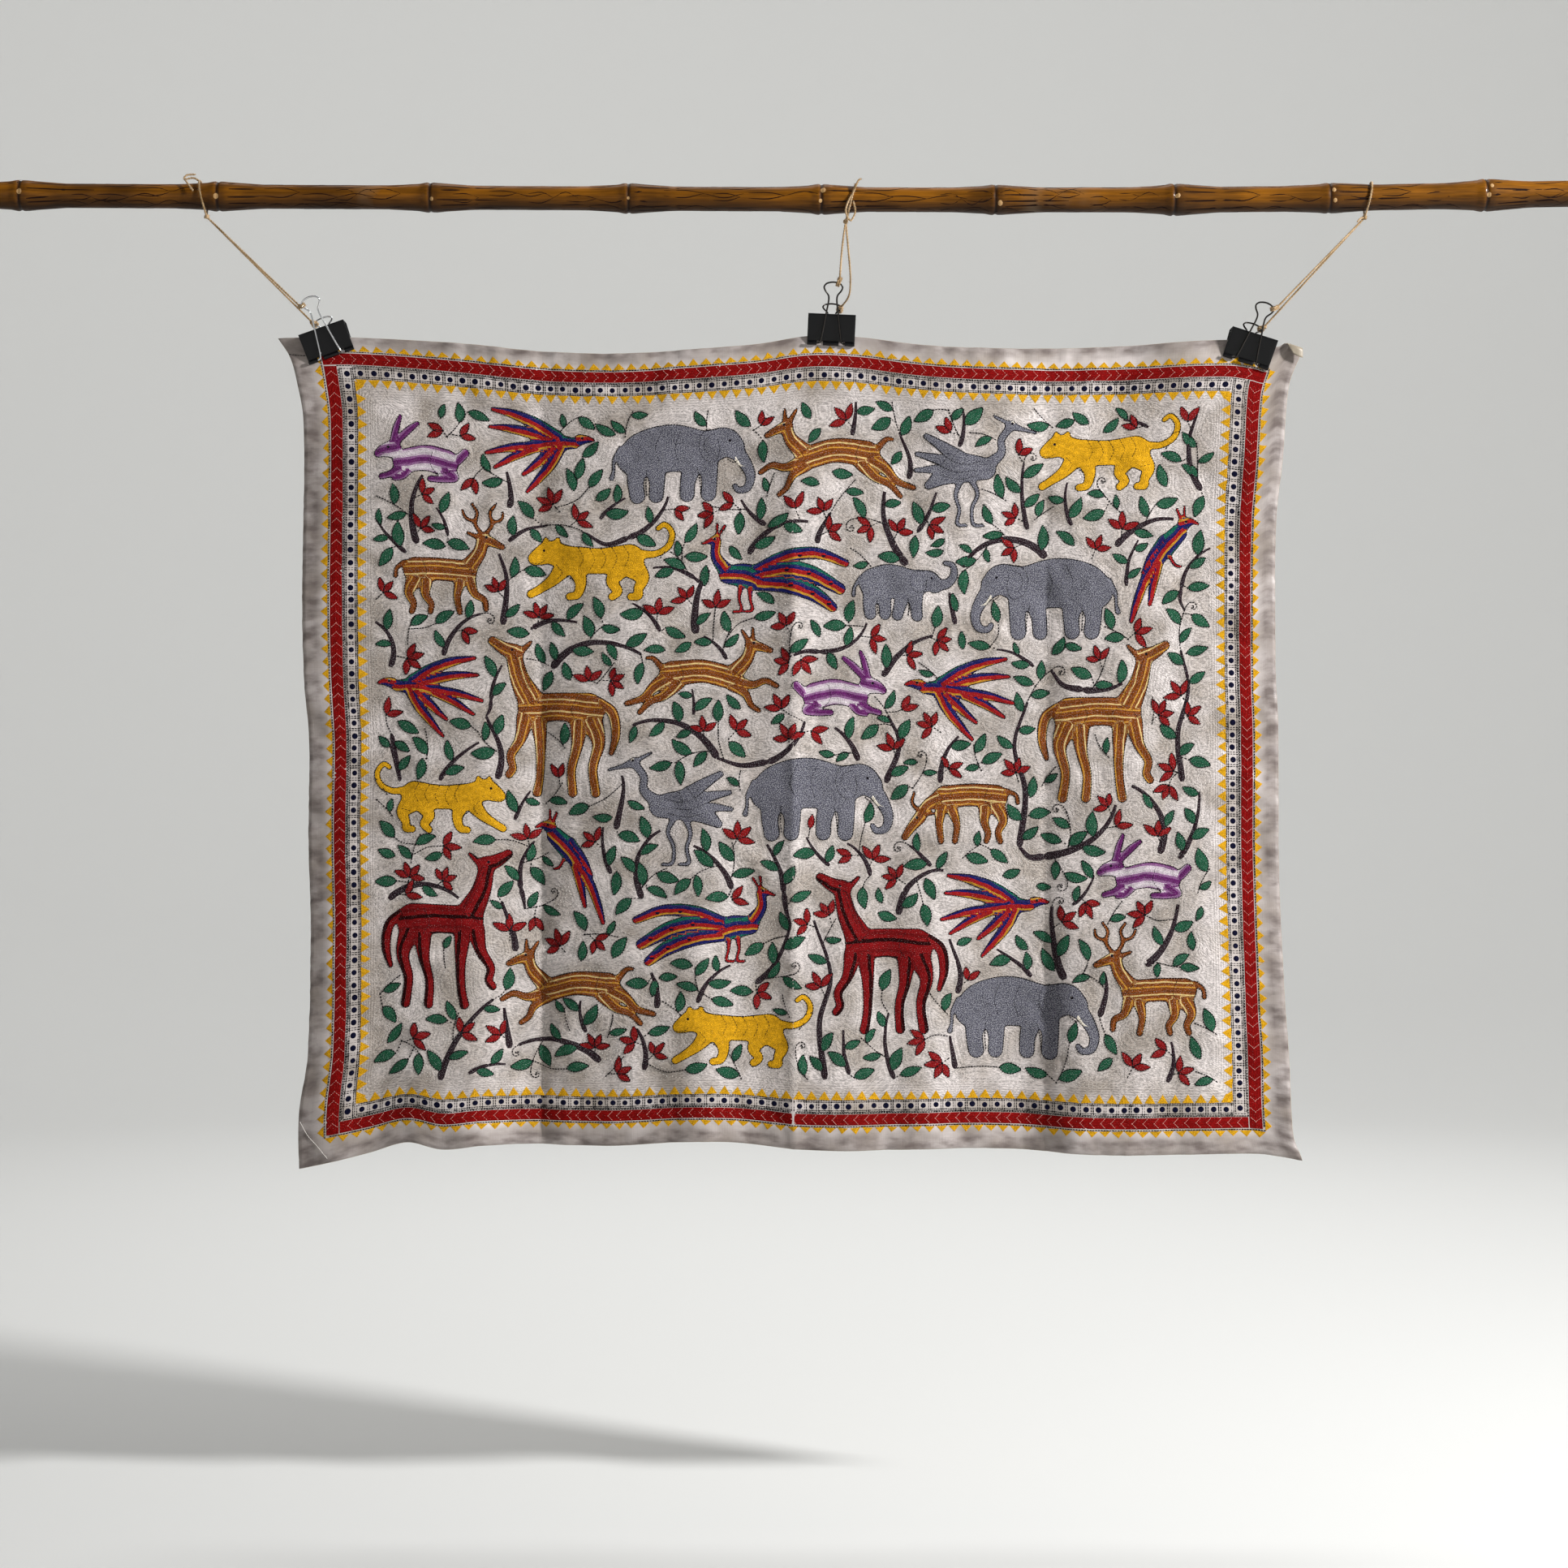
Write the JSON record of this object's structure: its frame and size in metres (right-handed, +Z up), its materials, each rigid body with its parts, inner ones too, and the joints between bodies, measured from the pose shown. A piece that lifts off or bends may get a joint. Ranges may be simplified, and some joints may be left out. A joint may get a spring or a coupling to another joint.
{
  "type": "kantha wall hanging on a bamboo pole",
  "caption": "Embroidered quilted cloth with stitched animal field and striped border, held by binder clips that hang on jute twine from a bamboo pole.",
  "frame": {"origin": "middle of the bamboo pole's length, on its axis", "axes": "+X along the pole, to the right as seen from the front; +Y away from the viewer, towards the wall; +Z up"},
  "size_m": [1.78, 0.0745, 1.0704],
  "materials": {
    "quilted_cloth": "matt silk with stitched pattern",
    "bamboo": "varnished, with burnt marks",
    "clip_enamel": "gloss enamel",
    "handle_wire": "nickel plated",
    "jute": "rough twine"
  },
  "bodies": {
    "root": {"cloth": "quilted_cloth", "bamboo_pole": "bamboo", "clip_left": "clip_enamel", "clip_left_handle_front": "handle_wire", "clip_left_handle_back": "handle_wire", "clip_middle": "clip_enamel", "clip_middle_handle_front": "handle_wire", "clip_middle_handle_back": "handle_wire", "clip_right": "clip_enamel", "clip_right_handle_front": "handle_wire", "clip_right_handle_back": "handle_wire", "twine_left": "jute", "twine_middle": "jute", "twine_right": "jute"}
  },
  "joints": []
}
